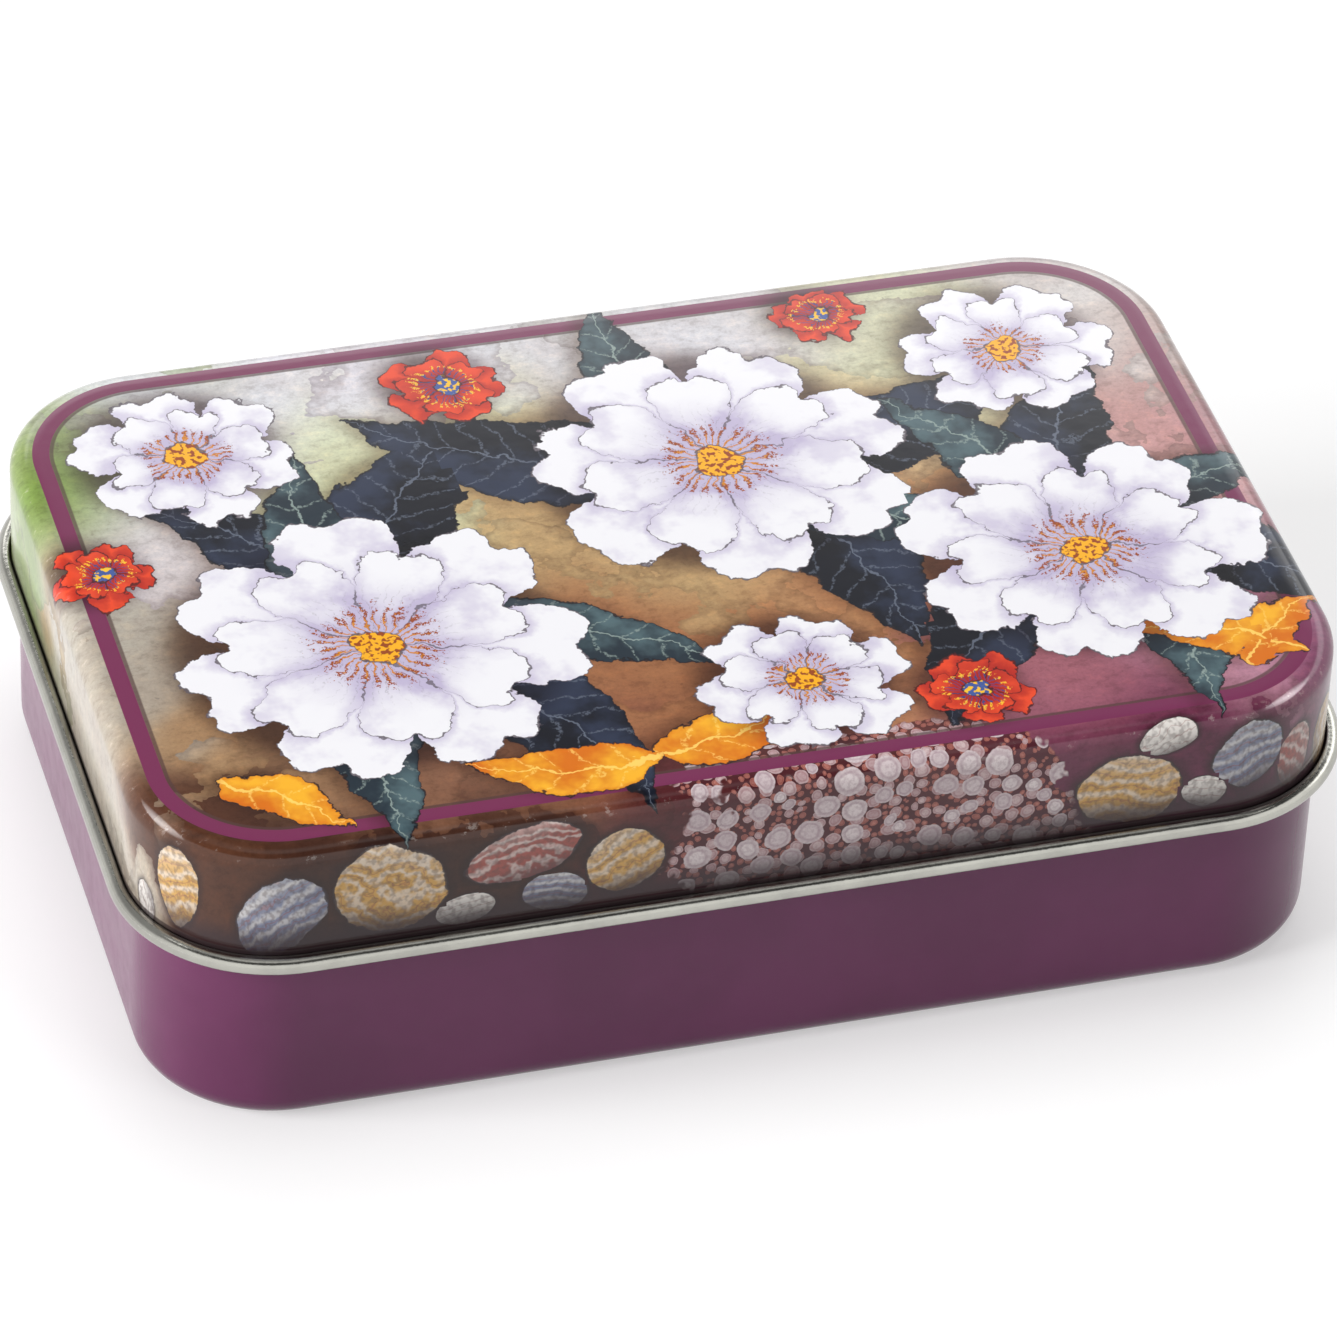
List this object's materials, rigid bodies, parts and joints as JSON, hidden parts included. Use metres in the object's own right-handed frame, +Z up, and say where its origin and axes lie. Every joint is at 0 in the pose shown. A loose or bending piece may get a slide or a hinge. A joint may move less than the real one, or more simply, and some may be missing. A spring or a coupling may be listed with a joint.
{
  "type": "hinged tin",
  "caption": "Rectangular tinplate case with rounded corners, a slip lid with a rolled curl, and tongues hooked over the curl as its hinge.",
  "frame": {"origin": "middle of the closed case, on the plane that its foot ring stands on", "axes": "+X to the right along the case, +Y to the rear where the hinge is, +Z up"},
  "size_m": [0.095, 0.0637, 0.026],
  "materials": {
    "lid_print": "printed tinplate under gloss varnish",
    "tray_lacquer": "purple lacquer, gloss",
    "bare_tinplate": "bright tinplate, faint drawing marks"
  },
  "bodies": {
    "tray": {"tray": "tray_lacquer"},
    "lid": {"lid": "lid_print"}
  },
  "joints": [
    {"name": "lid_hinge", "type": "hinge", "parent": "tray", "child": "lid", "pos_m": [0, 0.03078, 0.01613], "axis": [-1, 0, 0], "range_deg": [0, 105]}
  ]
}
